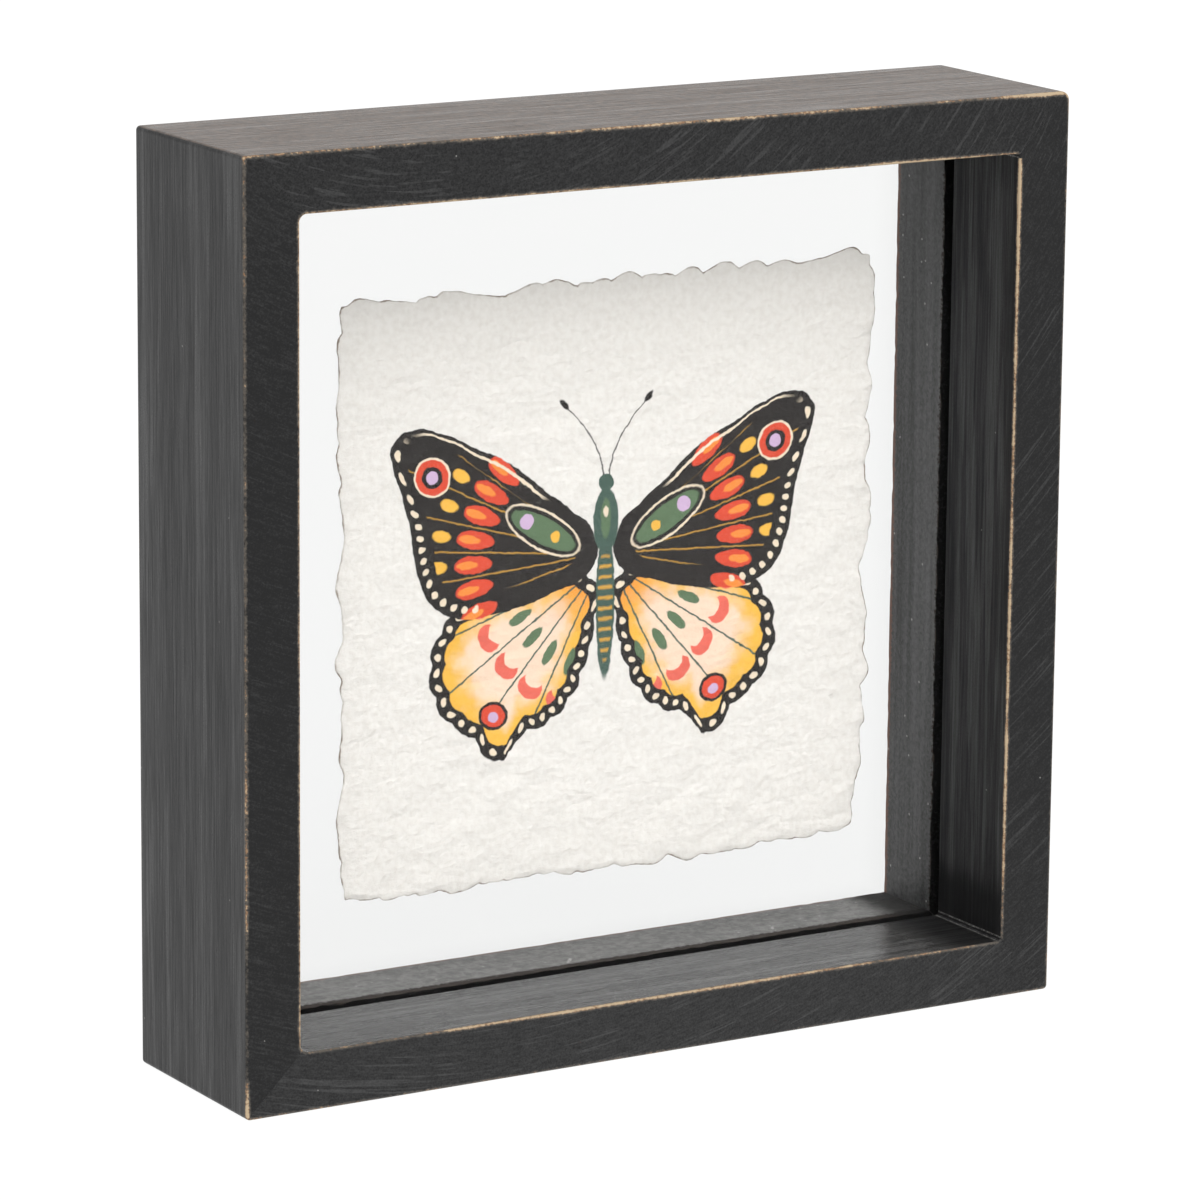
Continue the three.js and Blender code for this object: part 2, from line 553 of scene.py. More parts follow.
# %% [markdown]
# Now the paint itself. It is charcoal, half dull and mottled, thin enough to show the
# grain, and each bar gets its own copy of the material with its own grain direction, saw
# centre and wear. The paint's colour runs from nearly black to grey, and small sums of the
# patterns above say where between the two each point lies.

# %% Material: black painted wood
PAINT_DEEP = colour(10, 10, 11)
PAINT_PALE = colour(104, 104, 104)
PAINT_RUBBED = colour(116, 108, 98)
BARE_WOOD = colour(178, 158, 130)
STAINED_WOOD = colour(130, 101, 77)
DUST = colour(186, 184, 180)
DUST_ON_TOP = colour(196, 160, 132)
PAINT_IOR = 1.35
BARE_WOOD_DULL = 0.85
GLOSSIEST = 0.18
BACK_EDGE_LIMIT = 0.3
NO_PAINTED_SHADE = (0, 1, 0, 0)
GRAIN_ALONG = {"x": (0.03, 1.0, 1.0), "z": (1.0, 1.0, 0.03)}


def sanded(w, edges, station, outer, inner, corner):
    """How far each point lies inside the sanded limits of the bar's edges, in mm."""
    half = HALF / MM
    opening = OPENING / MM
    at_outer = w.less(w.curve(station, -half, half, outer), edges["Front Outer"])
    at_inner = w.less(w.curve(station, -opening, opening, inner), edges["Front Inner"])
    corner_limit = w.ramp(station, -1.0, 1.0, corner[0], corner[1])
    at_corner = w.less(corner_limit, edges["Front Corner"])
    at_back = w.less(BACK_EDGE_LIMIT, edges["Back Outer"])
    return w.largest(w.largest(at_outer, at_inner), w.largest(at_corner, at_back))


def painted_wood(
    name, along, saw_centre, outer, inner, corner, front_level, side_level,
    side_bands=0.2, side_streaks=0.36, saw_lines=0.13, corner_lines=0.0, dull_level=0.37,
    inner_dull=0.0, haze_colour=DUST, haze_amount=0.07, painted_shade=NO_PAINTED_SHADE,
):
    """Outer and inner are curves of the sanded limit along the bar's two front edges, and
    corner is that limit at the bar's two ends. Front level is a curve of the front's tone.
    Painted shade goes between two places along the bar from one share to another, darkening and
    dulling the paint towards a corner."""
    material, w, shader, place = new_material(name)
    edges = place_group(w, edge_distance, Place=place)
    grain = place_group(w, streaky_grain, Along_Bar=w.stretch(place, GRAIN_ALONG[along]))
    saw = place_group(w, saw_marks, Place=place, Centre=saw_centre)
    on_front = w.ramp(edges["From Front"], 0.1, 0.5, 1.0, 0.0)
    off_front = w.less(1.0, on_front)
    x, y, z = w.split(place)
    station, aside = (x, z) if along == "x" else (z, x)
    front_part = w.times(on_front, aside)
    on_face = w.join(station, w.math("MULTIPLY_ADD", off_front, y, front_part), 0.0)
    excess = sanded(w, edges, station, outer, inner, corner)
    worn = place_group(w, worn_edge, Place=place, Excess=excess, Unevenness=0.5)

    # The tone, 0 for deep and 1 for pale
    speckle = w.sway(place, 2.2, 3.0, 0.85)
    streaks = w.less(grain["Fine"], 0.5)
    bands = w.times(w.less(grain["Broad"], 0.4), side_bands)
    side_tone = w.add(w.add(bands, w.times(streaks, side_streaks)), side_level)
    front_tone = w.add(w.times(saw["Lines"], saw_lines), w.times(saw["Strokes"], 0.36))
    front_tone = w.add(front_tone, w.curve(station, -HALF / MM, HALF / MM, front_level))
    tone = w.add(w.times(on_front, front_tone), w.times(off_front, side_tone))
    tone = w.math("MULTIPLY_ADD", speckle, 0.5, tone, clamp=True)

    # The colour: paint, then haze, painted shade, rubbed paint, specks, scratches and bare wood
    painted = w.blend(tone, PAINT_DEEP, PAINT_PALE)
    haze = place_group(w, settled_dust, Place=place, Amount=haze_amount)["Share"]
    painted = w.blend(haze, painted, haze_colour)
    # Painted shade: off the front face the paint goes nearly black towards one end of the bar.
    shade_share = w.times(w.ramp(station, *painted_shade), off_front)
    painted = w.blend(shade_share, painted, PAINT_DEEP)
    painted = w.blend(w.times(worn["Rubbed"], 0.5), painted, PAINT_RUBBED)
    speck = place_group(w, dust_specks, Place_on_Face=on_face, Cell_Size=3.2, Share=0.006)
    painted = w.blend(w.times(speck["Speck"], 0.4), painted, DUST)
    scratch = w.times(w.ramp(edges["Corner Line"], 0.05, 0.25, 1.0, 0.0), off_front)
    scratch = w.times(scratch, w.ramp(speckle, -0.05, 0.12, 0.05, corner_lines))
    painted = w.blend(scratch, painted, DUST)
    wood = w.blend(worn["Deep"], STAINED_WOOD, BARE_WOOD)
    w.feed(shader.inputs["Base Color"], w.blend(worn["Bare"], painted, wood))

    # How dull it is, and the relief
    gloss = w.add(w.times(streaks, 0.8), w.times(w.less(grain["Broad"], 0.5), 0.06))
    dull = w.less(w.add(dull_level, w.times(speckle, 0.3)), w.times(off_front, gloss))
    inside = w.times(w.ramp(edges["From Opening"], 0.3, 0.8, 1.0, 0.0), off_front)
    dull = w.add(dull, w.add(w.times(inside, inner_dull), w.times(shade_share, 0.4)))
    dull = w.ramp(worn["Bare"], 0.0, 1.0, dull, BARE_WOOD_DULL, smooth=False)
    w.feed(shader.inputs["Roughness"], w.largest(dull, GLOSSIEST))
    shader.inputs["IOR"].default_value = PAINT_IOR
    side_lines = w.add(grain["Fine"], w.times(grain["Pores"], -0.3))
    front_lines = w.add(saw["Strokes"], w.times(saw["Lines"], 0.3))
    lines = w.add(w.times(on_front, front_lines), w.times(off_front, side_lines))
    height = w.add(w.times(lines, 0.06), w.times(worn["Bare"], -0.05))
    height = w.add(height, w.times(speckle, w.ramp(on_front, 0.0, 1.0, 0.03, 0.07)))
    w.feed(shader.inputs["Normal"], w.bump(height))
    return material


# %% [markdown]
# The curves below are listed as pairs. Each pair is a place along the bar and the sanded
# limit there, both in millimetres: under 0.3 the paint is whole, at 0.4 a hair of wood shows
# on the crown of the edge, and at 0.7 the whole rounding is bare.

# %% Paint for the four bars
bar_paint = {
    "bottom": painted_wood(
        "black paint, bottom bar", "x", (-40, 0, 110),
        outer=((-100, 0.62), (-92, 0.36), (0, 0.26), (90, 0.28), (100, 0.36)),
        inner=((-87, 0.2), (-58, 0.26), (-48, 0.42), (20, 0.46), (34, 0.4), (60, 0.3), (87, 0.1)),
        corner=(1.0, 0.6), front_level=((-100, 0.08), (-50, 0.1), (50, 0.1), (100, 0.05)),
        side_level=0.06, side_bands=0.5, side_streaks=0.8, corner_lines=0.6, inner_dull=-0.18,
        # Painted shade towards the lower right corner of the opening
        painted_shade=(68, 80, 0, 0.9),
    ),
    "left": painted_wood(
        "black paint, left bar", "z", (40, 0, 330),
        outer=((-100, 0.72), (-92, 0.4), (-86, 0.12), (-68, 0.14), (-60, 0.35), (-20, 0.35),
               (0, 0.26), (40, 0.2), (62, 0.26), (76, 0.32), (86, 0.3), (100, 0.5)),
        inner=((-87, 0.42), (-40, 0.38), (30, 0.38), (87, 0.42)),
        corner=(1.0, 1.1), front_level=((-100, 0.03), (-60, 0.01), (60, 0.01), (100, 0.05)),
        side_level=0.02, saw_lines=0.05,
    ),
    "top": painted_wood(
        "black paint, top bar", "x", (-55, 0, 190),
        outer=((-100, 0.6), (-92, 0.4), (-50, 0.38), (-20, 0.44), (40, 0.42), (76, 0.36),
               (82, 0.54), (100, 0.75)),
        inner=((-87, 0.41), (0, 0.4), (46, 0.42), (58, 0.54), (74, 0.44), (87, 0.25)),
        corner=(1.1, 2.1), front_level=((-100, 0.05), (0, 0.06), (100, 0.03)), side_level=-0.01,
        dull_level=0.31, haze_colour=DUST_ON_TOP, haze_amount=0.12,
    ),
    "right": painted_wood(
        "black paint, right bar", "z", (-90, 0, 190),
        outer=((-100, 0.4), (-92, 0.34), (0, 0.32), (92, 0.38), (100, 0.75)),
        inner=((-87, 0.1), (-76, 0.3), (-64, 0.46), (0, 0.42), (60, 0.48), (80, 0.64), (87, 0.3)),
        corner=(0.6, 2.1), front_level=((-100, 0.05), (-60, 0.02), (100, 0.02)), side_level=0.01,
        corner_lines=0.5, inner_dull=0.22,
        # Painted shade towards the lower right corner of the opening
        painted_shade=(-80, -72, 0.9, 0),
    ),
}
print("paint materials:", len(bar_paint))

# %% [markdown]
# The bars are modelled the way the frame was made. First one square ring is shaped, with
# its rebate for the glass, and its edges are sanded round all at once. Only then is it
# parted into four bars at the corners, so both halves of each corner match. Modelling
# four bars and rounding each would leave a notch at every corner.

# %% Helpers for modelling
CUT_TOLERANCE = 1e-7


def add_block(name, low, high):
    """A cube primitive at its size and place, with the place kept in its mesh."""
    bpy.ops.object.select_all(action="DESELECT")
    bpy.ops.mesh.primitive_cube_add(size=1, location=(low + high) / 2)
    block = bpy.context.object
    block.name = name
    block.data.name = name
    block.scale = high - low
    bpy.ops.object.transform_apply(location=True, rotation=True, scale=True)
    return block


def copy_piece(piece, name):
    """A copy that has a mesh of its own."""
    made = piece.copy()
    made.data = piece.data.copy()
    made.name = name
    made.data.name = name
    bpy.context.scene.collection.objects.link(made)
    return made


def edit(piece):
    bpy.context.view_layer.objects.active = piece
    bpy.ops.object.mode_set(mode="EDIT")


def leave_edit():
    bpy.ops.object.mode_set(mode="OBJECT")


def select_faces(piece, wanted):
    """Selects the faces for which wanted(middle, normal) is true."""
    bpy.ops.mesh.select_mode(type="FACE")
    bpy.ops.mesh.select_all(action="DESELECT")
    mesh = bmesh.from_edit_mesh(piece.data)
    for face in mesh.faces:
        face.select_set(bool(wanted(face.calc_center_median(), face.normal)))
    bmesh.update_edit_mesh(piece.data)


def select_edges(piece, wanted):
    """Selects the edges for which wanted(one end, other end, angle between faces) is true."""
    bpy.ops.mesh.select_mode(type="EDGE")
    bpy.ops.mesh.select_all(action="DESELECT")
    mesh = bmesh.from_edit_mesh(piece.data)
    for edge in mesh.edges:
        bend = edge.calc_face_angle(0)
        edge.select_set(bool(wanted(edge.verts[0].co, edge.verts[1].co, bend)))
    bmesh.update_edit_mesh(piece.data)


def cut_away(point, outwards):
    """Cuts the whole mesh at a plane, drops what lies outwards of it and closes the cut."""
    bpy.ops.mesh.select_all(action="SELECT")
    bpy.ops.mesh.bisect(
        plane_co=point,
        plane_no=outwards,
        use_fill=True,
        clear_outer=True,
        threshold=CUT_TOLERANCE,
    )


def count(piece):
    return f"{piece.name}: {len(piece.data.vertices)} points, {len(piece.data.polygons)} faces"


# %% Model the whole ring
CORNER_ROUND = 1.0 * MM
KNOCKED_CORNER_ROUND = 2.0 * MM
EDGE_ROUND = 0.55 * MM
HIDDEN_EDGE_ROUND = 0.25 * MM
CLOSE = 0.01 * MM
SHARP = math.radians(57)


def model_ring():
    ring = add_block("ring", Vector((-HALF, FRONT, cad_low.z)), Vector((HALF, BACK, cad_high.z)))
    edit(ring)
    select_faces(ring, lambda middle, normal: normal.y > 0.9)
    bpy.ops.mesh.inset(thickness=OUTER_WALL)
    bpy.ops.mesh.extrude_region_move(TRANSFORM_OT_translate={"value": (0, SEAT - BACK, 0)})
    bpy.ops.mesh.inset(thickness=BAR_FACE - OUTER_WALL)
    select_faces(ring, lambda middle, normal: normal.y < -0.9)
    bpy.ops.mesh.inset(thickness=BAR_FACE)
    select_faces(
        ring,
        lambda middle, normal: abs(normal.y) > 0.9 and (middle - MIDDLE).xz.length < CLOSE,
    )
    bpy.ops.mesh.bridge_edge_loops()
    leave_edit()
    return ring


ring = model_ring()
print(count(ring))

# %% [markdown]
# Each kind of edge gets a rounding of its own, and the order matters. The edges that run
# from front to back come first, so that the rounding of the front and back faces can then
# follow the rounded corners. Edges that nobody touches are only broken a little.

# %% Sand the ring's edges


def along_depth(a, b):
    return abs(a.x - b.x) < CLOSE and abs(a.z - b.z) < CLOSE


def at_depth(a, b, depth):
    return abs(a.y - depth) < CLOSE and abs(b.y - depth) < CLOSE


def inset_of(point):
    offset = point - MIDDLE
    return HALF - max(abs(offset.x), abs(offset.z))


def at_knocked(point):
    """True at the upper right corner, which was knocked and is rounder than the others."""
    return (point - cad_high).xz.length < CLOSE


def bevel(width, segments):
    bpy.ops.mesh.bevel(offset=width, segments=segments, affect="EDGES", clamp_overlap=False)


def sand_edges(ring):
    edit(ring)
    select_edges(
        ring,
        lambda a, b, bend: along_depth(a, b) and inset_of(a) < CLOSE and not at_knocked(a),
    )
    bevel(CORNER_ROUND, 5)
    select_edges(
        ring,
        lambda a, b, bend: along_depth(a, b) and inset_of(a) < CLOSE and at_knocked(a),
    )
    bevel(KNOCKED_CORNER_ROUND, 6)
    for sign, width in ((-1, LEFT_INNER_ROUND), (1, RIGHT_INNER_ROUND)):
        select_edges(
            ring,
            lambda a, b, bend: along_depth(a, b) and a.x * sign > 0
            and abs(inset_of(a) - BAR_FACE) < CLOSE,
        )
        bevel(width, 5)
    select_edges(ring, lambda a, b, bend: bend > SHARP and at_depth(a, b, FRONT))
    bevel(EDGE_ROUND, 4)
    select_edges(
        ring,
        lambda a, b, bend: bend > SHARP and at_depth(a, b, BACK)
        and inset_of(a) < OUTER_WALL / 2,
    )
    bevel(EDGE_ROUND, 4)
    select_edges(
        ring,
        lambda a, b, bend: bend > SHARP and (at_depth(a, b, BACK) or at_depth(a, b, SEAT)),
    )
    bevel(HIDDEN_EDGE_ROUND, 2)
    leave_edit()


sand_edges(ring)
print(count(ring))

# %% [markdown]
# Now the ring is parted. Each bar is a copy of the whole ring, cut along the two planes
# that run through the middle at 45 degrees. The cut edges are eased by a hair, so the
# mitres can be seen as fine lines.

# %% Part the ring into four mitred bars
MITRE_EASE = 0.02 * MM
CUT_BEND = math.radians(17)
SMOOTH_BELOW = math.radians(40)
FLAT_FACES_FIRST = 100
QUARTER_TURNS = {"bottom": 0, "left": 1, "top": 2, "right": 3}


def turned(direction, quarters):
    """A direction in the front view, turned clockwise by quarter turns."""
    return Matrix.Rotation(quarters * math.pi / 2, 3, "Y") @ direction


def part_bar(ring, side):
    bar = copy_piece(ring, f"bar_{side}")
    bpy.ops.object.select_all(action="DESELECT")
    bar.select_set(True)
    edit(bar)
    planes = [
        turned(Vector((1, 0, 1)).normalized(), QUARTER_TURNS[side]),
        turned(Vector((-1, 0, 1)).normalized(), QUARTER_TURNS[side]),
    ]
    for outwards in planes:
        cut_away(MIDDLE, outwards)
    select_edges(
        bar,
        lambda a, b, bend: bend > CUT_BEND
        and any(abs(n.dot(a - MIDDLE)) < CLOSE and abs(n.dot(b - MIDDLE)) < CLOSE for n in planes),
    )
    bevel(MITRE_EASE, 1)
    leave_edit()
    return bar


def keep_in_box(piece):
    """Where bevels meet, a point can stand out by a hair. It goes back to the flat face."""
    for vertex in piece.data.vertices:
        for axis in range(3):
            vertex.co[axis] = min(max(vertex.co[axis], cad_low[axis]), cad_high[axis])


def finish_piece(piece, node, material):
    keep_in_box(piece)
    bpy.ops.object.select_all(action="DESELECT")
    piece.select_set(True)
    bpy.context.view_layer.objects.active = piece
    bpy.ops.object.shade_smooth_by_angle(angle=SMOOTH_BELOW)
    bpy.ops.object.modifier_add(type="WEIGHTED_NORMAL")
    weighted = piece.modifiers[-1]
    weighted.keep_sharp = True
    weighted.weight = FLAT_FACES_FIRST
    bpy.ops.object.modifier_apply(modifier=weighted.name)
    piece.data.materials.clear()
    piece.data.materials.append(material)
    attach(piece, ROOT)
    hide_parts(node)


for side in SIDES:
    bar = part_bar(ring, side)
    finish_piece(bar, f"frame_{side}", bar_paint[side])
    print(count(bar))
bpy.data.objects.remove(ring)

# %% [markdown]
# The panes are clear picture glass of the kind that hardly mirrors: the slot between the
# wood stays black behind them, and the white behind is even right up to the strips. How
# much glass mirrors follows from its index, so the index is 1.2 here, where plain glass
# has 1.5. Light has to reach the paper and the walls behind, so the material is
# see-through to shadow rays, and real glass to everything else.

# %% Material: clear glass
GLASS_TINT = (0.928, 0.93, 0.928, 1)
GLASS_SHADE = (0.95, 0.95, 0.95, 1)
GLASS_IOR = 1.2


def clear_glass(name):
    material, w, shader, _ = new_material(name)
    shader.inputs["Base Color"].default_value = GLASS_TINT
    shader.inputs["Roughness"].default_value = 0.0
    shader.inputs["IOR"].default_value = GLASS_IOR
    shader.inputs["Transmission Weight"].default_value = 1.0
    see_through = w.node("ShaderNodeBsdfTransparent")
    see_through.inputs["Color"].default_value = GLASS_SHADE
    light_path = w.node("ShaderNodeLightPath")
    mixed = w.node("ShaderNodeMixShader")
    w.feed(mixed.inputs[0], light_path.outputs["Is Shadow Ray"])
    w.feed(mixed.inputs[1], shader.outputs[0])
    w.feed(mixed.inputs[2], see_through.outputs[0])
    output = material.node_tree.nodes["Material Output"]
    w.feed(output.inputs["Surface"], mixed.outputs[0])
    return material


glass = clear_glass("clear glass")
for node in ("glass_front", "glass_back"):
    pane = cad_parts[node]
    pane.data.materials.clear()
    pane.data.materials.append(glass)
    print("glass on", node)

# %% [markdown]
# Behind the glass lie four strips of thinner wood that hold it in. They were cut quickly:
# the edge at the glass is chipped, so the dark gap beside it has a ragged side, and the
# back edge is splintered. Each strip starts as a block, is mitred, beveled and divided
# along its length, and then the points of those two edges are moved in or out a little.

# %% Model the retaining strips
STRIP_EDGE = 0.3 * MM
STRIP_CUTS = 230
CHIP_DEPTH = 0.75 * MM
CHIP_WAVE = 2.6 * MM
SPLINTER_DEPTH = 0.45 * MM
SPLINTER_WAVE = 1.7 * MM
SPLINTER_SEED = 40
STRIP_INSET = strip_low.z - cad_low.z
STRIP_FACE = strip_high.z - strip_low.z


def roughness_along(place, wave, seed):
    """A number between about -1 and 1 that wanders with the place."""
    return noise.fractal(place / wave + Vector((seed, 0, 0)), 0.6, 2.1, 4)


def model_strip():
    strip = add_block("strip", strip_low, strip_high)
    edit(strip)
    for sign in (-1, 1):
        cut_away(MIDDLE + Vector((0, 0, -MITRE_EASE)), Vector((sign, 0, 1)).normalized())
    inner_edge = strip_high.z
    select_edges(
        strip,
        lambda a, b, bend: abs(a.z - inner_edge) < CLOSE and abs(b.z - inner_edge) < CLOSE
        and abs(a.y - b.y) < CLOSE,
    )
    bevel(STRIP_EDGE, 2)
    select_edges(strip, lambda a, b, bend: abs(a.x - b.x) > HALF)
    bpy.ops.mesh.subdivide(number_cuts=STRIP_CUTS)
    leave_edit()
    return strip


def turn_copy(piece, quarters, name):
    made = copy_piece(piece, name)
    about_middle = (
        Matrix.Translation(MIDDLE)
        @ Matrix.Rotation(quarters * math.pi / 2, 4, "Y")
        @ Matrix.Translation(-MIDDLE)
    )
    made.data.transform(about_middle)
    return made


def chip_edges(strip, seed):
    for vertex in strip.data.vertices:
        place = vertex.co
        depth_in = place.y - strip_low.y
        depth_left = strip_high.y - place.y
        at_inner = inset_of(place) > STRIP_INSET + 0.7 * STRIP_FACE
        if not at_inner:
            continue
        if depth_in < 2 * STRIP_EDGE:
            chip = roughness_along(place, CHIP_WAVE, seed)
            vertex.co.y += CHIP_DEPTH * min(max(0.35 + 0.9 * chip, 0.0), 1.0)
        if depth_left < 2 * STRIP_EDGE:
            splinter = roughness_along(place, SPLINTER_WAVE, seed + SPLINTER_SEED)
            vertex.co.y -= SPLINTER_DEPTH * min(max(0.9 * splinter, 0.0), 1.0)


strip = model_strip()
print(count(strip))

# %% [markdown]
# The strips are dull, grey with dust, and only their edges show brown. Dust has settled
# thicker on what faces up. The edge at the glass is dark and ragged, widest on the bottom
# strip. What faces the glass lies in shade, painted in as nearly black, and painted shade
# darkens the bottom strip towards its right end.

# %% Material: dusty strip wood
STRIP_PAINT = colour(36, 36, 36)
STRIP_DUSTY = colour(92, 92, 92)
STRIP_SHADE = colour(8, 7, 7)
STRIP_BROWN = colour(116, 80, 62)
STRIP_CHIPPED = colour(46, 37, 31)
STRIP_SPECK = colour(214, 212, 208)
SCRATCH_LEAN = math.radians(50)
SCRATCH_SHAPE = (5, 1, 1)
CHIPPED_DULL = 0.9
RAGGED_MM = 5.0


def strip_wood(name, along, dark_edge, scratches=0.0, painted_shade=NO_PAINTED_SHADE):
    material, w, shader, place = new_material(name)
    x, y, z = w.split(place)
    station = x if along == "x" else z
    on_face = w.join(station, y, 0.0)
    fine = w.cloud(place, 1.3, 4.0, 0.75)
    broad = w.cloud(w.stretch(place, GRAIN_ALONG[along]), 0.35, 3.0, 0.6)
    dusty = w.ramp(w.add(w.times(fine, 0.6), w.times(broad, 0.4)), 0.35, 0.68)
    tone = w.blend(dusty, STRIP_PAINT, STRIP_DUSTY)
    speck = place_group(w, dust_specks, Place_on_Face=on_face, Cell_Size=4.5, Share=0.16)
    drawn_out = w.local(on_face, (0, 0, 0), (0, 0, SCRATCH_LEAN), SCRATCH_SHAPE)
    scratch = place_group(w, dust_specks, Place_on_Face=drawn_out, Cell_Size=8.0, Share=0.3)
    scratched = w.times(scratch["Speck"], w.ramp(fine, 0.4, 0.6, 0.0, scratches))
    pale = w.largest(w.times(speck["Speck"], 0.5), scratched)
    past_opening = w.less(w.largest(w.size(x), w.size(z)), OPENING / MM)
    from_rear_edge = w.add(w.less(BACK / MM, y), w.largest(past_opening, 0.0))
    ragged = w.times(w.sway(place, 1.1, 4.0, 0.8), RAGGED_MM)
    brown = w.ramp(w.add(from_rear_edge, w.times(ragged, 0.6)), 0.9, 1.4, 1.0, 0.0)
    tone = w.blend(w.times(brown, 0.85), tone, STRIP_BROWN)
    haze = place_group(w, settled_dust, Place=place, Amount=0.25)["Share"]
    tone = w.blend(haze, tone, DUST)
    tone = w.blend(pale, tone, STRIP_SPECK)
    from_glass = w.size(w.less(y, strip_low.y / MM))
    chipped = w.ramp(w.add(from_glass, ragged), dark_edge, dark_edge + 0.25, 1.0, 0.0)
    tone = w.blend(w.times(chipped, 0.92), tone, STRIP_CHIPPED)
    # Painted shade: the strip goes nearly black towards one end.
    shade_share = w.ramp(station, *painted_shade)
    tone = w.blend(shade_share, tone, STRIP_SHADE)
    # Painted shade: what faces the glass is coloured nearly black.
    facing_y = w.split(w.node("ShaderNodeTexCoord").outputs["Normal"])[1]
    towards_glass = w.ramp(facing_y, -0.75, -0.45, 1.0, 0.0)
    w.feed(shader.inputs["Base Color"], w.blend(towards_glass, tone, STRIP_SHADE))
    dull = w.ramp(fine, 0.3, 0.7, 0.32, 0.48)
    unpolished = w.largest(chipped, shade_share)
    dull = w.ramp(unpolished, 0.0, 1.0, dull, CHIPPED_DULL, smooth=False)
    w.feed(shader.inputs["Roughness"], dull)
    shader.inputs["IOR"].default_value = PAINT_IOR
    height = w.add(w.times(fine, 0.22), w.times(broad, 0.1))
    w.feed(shader.inputs["Normal"], w.bump(height))
    return material


upright_strip_wood = strip_wood("strip wood, upright", "z", 0.5)
strip_finish = {
    # Painted shade at the right end of the bottom strip, by the corner
    "bottom": strip_wood("strip wood, bottom", "x", 2.5, 0.6, painted_shade=(74, 82, 0, 0.85)),
    "left": upright_strip_wood,
    "top": strip_wood("strip wood, top", "x", 0.5),
    "right": upright_strip_wood,
}
for seed, side in enumerate(SIDES):
    made = turn_copy(strip, QUARTER_TURNS[side], f"strip_{side}")
    chip_edges(made, seed)
    finish_piece(made, f"retaining_strip_{side}", strip_finish[side])
    print(count(made))
bpy.data.objects.remove(strip)

# %% [markdown]
# The paper is handmade: its edge was never cut, and its face is lumpy where the pulp
# dried. A fine grid makes the sheet, extruded once for its back. The grid's square outline
# is then stretched onto the torn outline of the model, and only the outer tenth of the
# sheet moves for that, so the middle stays even. How far each point is from the torn edge
# is kept with the mesh, for the edge is thinner and darker than the rest.

# %% Model the sheet
GRID_STEP = 0.7 * MM
EDGE_SHARE = 0.1
WIDE_TEAR, WIDE_TEAR_WAVE = 1.7 * MM, 11 * MM
TEAR, TEAR_WAVE = 1.5 * MM, 8 * MM
FINE_TEAR, FINE_TEAR_WAVE = 0.22 * MM, 2 * MM
MODEL_WAVE_SHARE = 0.35
PULP_RELIEF = 0.17 * MM
LUMP_WAVE = 7.5 * MM
WRINKLE_WAVE = 4.5 * MM
FEATHER_WIDTH = 1.1 * MM
FRONT_SWELL = 0.2 * MM
BACK_SWELL = 0.16 * MM
THINNEST_HALF = 0.04 * MM
CURL, CURL_WAVE = 0.05 * MM, 16 * MM
PANE_CLEARANCE = 0.04 * MM
SHEET_MIDDLE = (paper_low + paper_high) / 2
SHEET_HALF = (paper_high - paper_low) / 2
SHEET_FRONT = front_pane_high.y + PANE_CLEARANCE
SHEET_BACK = back_pane_low.y - PANE_CLEARANCE

# Corners of the sheet that lean out or in: direction in degrees, width in degrees, mm
CORNER_LEANS = (
    (45, 9, 2.2), (45, 3, -1.8), (-44, 7, -2.6), (-136, 5, -1.0), (-160, 12, -0.6), (8, 14, 0.7),
)


def model_sheet():
    bpy.ops.object.select_all(action="DESELECT")
    columns = round(2 * SHEET_HALF.x / GRID_STEP)
    rows = round(2 * SHEET_HALF.z / GRID_STEP)
    bpy.ops.mesh.primitive_grid_add(
        x_subdivisions=columns,
        y_subdivisions=rows,
        size=2,
        location=(SHEET_MIDDLE.x, paper_low.y, SHEET_MIDDLE.z),
        rotation=(math.pi / 2, 0, 0),
    )
    sheet = bpy.context.object
    sheet.name = "paper"
    sheet.data.name = "paper"
    sheet.scale = (SHEET_HALF.x, SHEET_HALF.z, 1)
    bpy.ops.object.transform_apply(location=True, rotation=True, scale=True)
    edit(sheet)
    bpy.ops.mesh.select_all(action="SELECT")
    thickness = paper_high.y - paper_low.y
    bpy.ops.mesh.extrude_region_move(TRANSFORM_OT_translate={"value": (0, thickness, 0)})
    bpy.ops.mesh.select_all(action="SELECT")
    bpy.ops.mesh.normals_make_consistent(inside=False)
    leave_edit()
    return sheet


def torn_outline(angles):
    """How far the torn edge of the model's sheet lies from its middle, in each direction."""
    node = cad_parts["paper_sheet"]
    places = np.array([node.matrix_world @ vertex.co for vertex in node.data.vertices])
    offsets = places[:, (0, 2)] - np.array(SHEET_MIDDLE)[[0, 2]]
    turns = np.arctan2(offsets[:, 1], offsets[:, 0])
    order = np.argsort(turns)
    reach = np.hypot(offsets[:, 0], offsets[:, 1])[order]
    return np.interp(angles, turns[order], reach, period=2 * math.pi)


